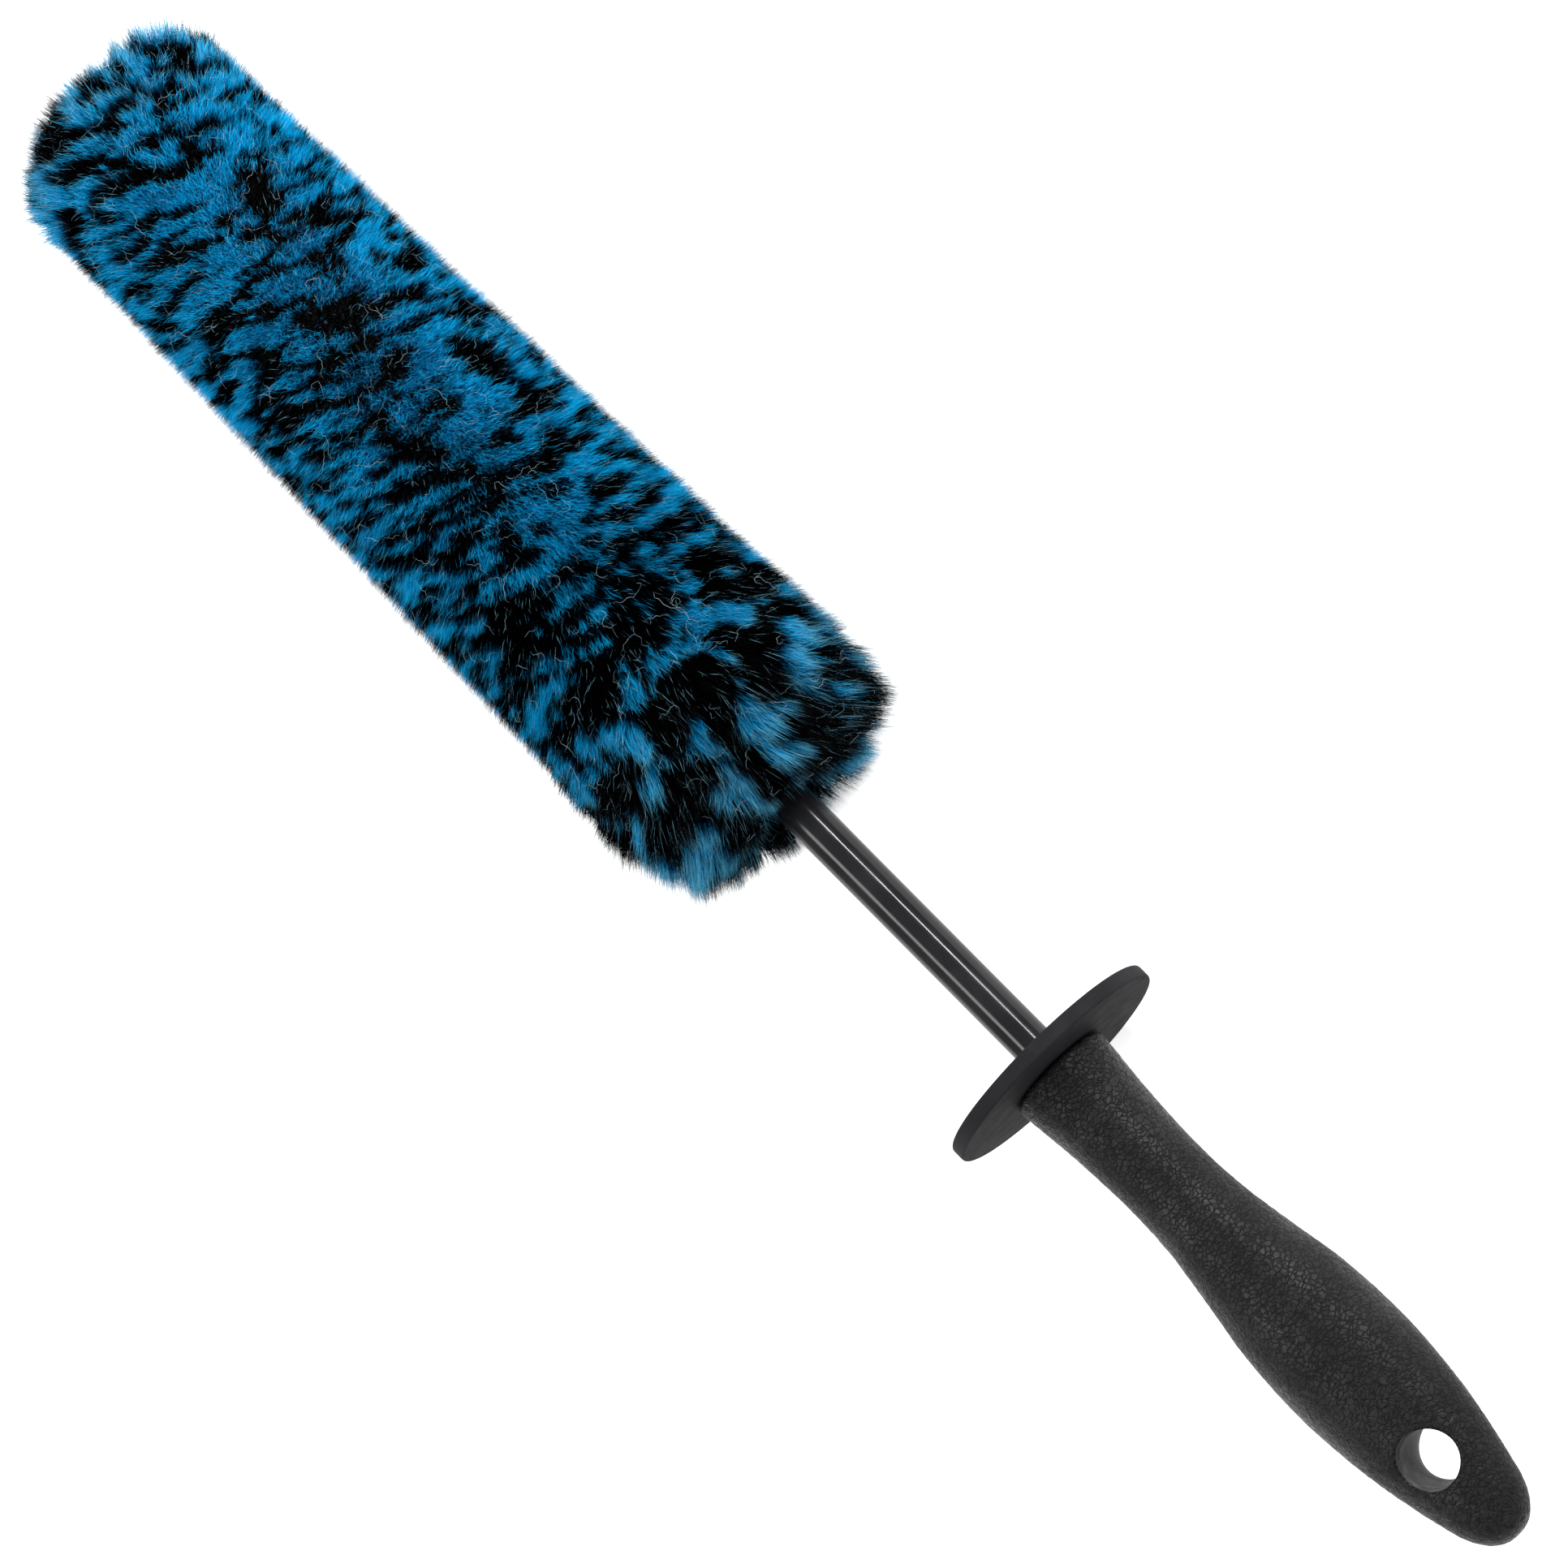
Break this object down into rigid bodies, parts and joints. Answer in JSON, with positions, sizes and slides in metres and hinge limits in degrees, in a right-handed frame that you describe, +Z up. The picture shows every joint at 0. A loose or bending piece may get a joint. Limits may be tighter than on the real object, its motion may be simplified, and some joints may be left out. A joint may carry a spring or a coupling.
{
  "type": "wheel brush",
  "caption": "Long plush pile head on a round rod, with a flat round hand guard on the rod and a soft textured handle with a hanging hole.",
  "frame": {"origin": "on the surface that the brush lies on, under the middle of its length", "axes": "+X along the brush from the pile tip to the handle's end, +Z up from the surface and along the hanging hole"},
  "size_m": [0.455, 0.068, 0.0623],
  "materials": {
    "pile": "matte",
    "cloth": "matte",
    "thread": "matte",
    "foam": "matte",
    "bumper": "matte",
    "spool": "satin",
    "pin": "satin",
    "rod": "gloss",
    "guard": "satin",
    "insert": "satin",
    "grip": "matte"
  },
  "bodies": {
    "brush": {"pile_cover": "pile", "backing_cloth": "cloth", "seam_thread": "thread", "tip_tie": "thread", "base_tie": "thread", "foam_sleeve": "foam", "tip_bumper": "bumper", "head_core": "spool", "core_pin_tip": "pin", "core_pin_base": "pin", "shaft_rod": "rod", "handle_core": "insert", "handle_grip": "grip"},
    "guard": {"guard_disc": "guard"}
  },
  "joints": [
    {"name": "guard_slide", "type": "slide", "parent": "brush", "child": "guard", "axis": [-1, 0, 0], "range_m": [0, 0.072]}
  ]
}
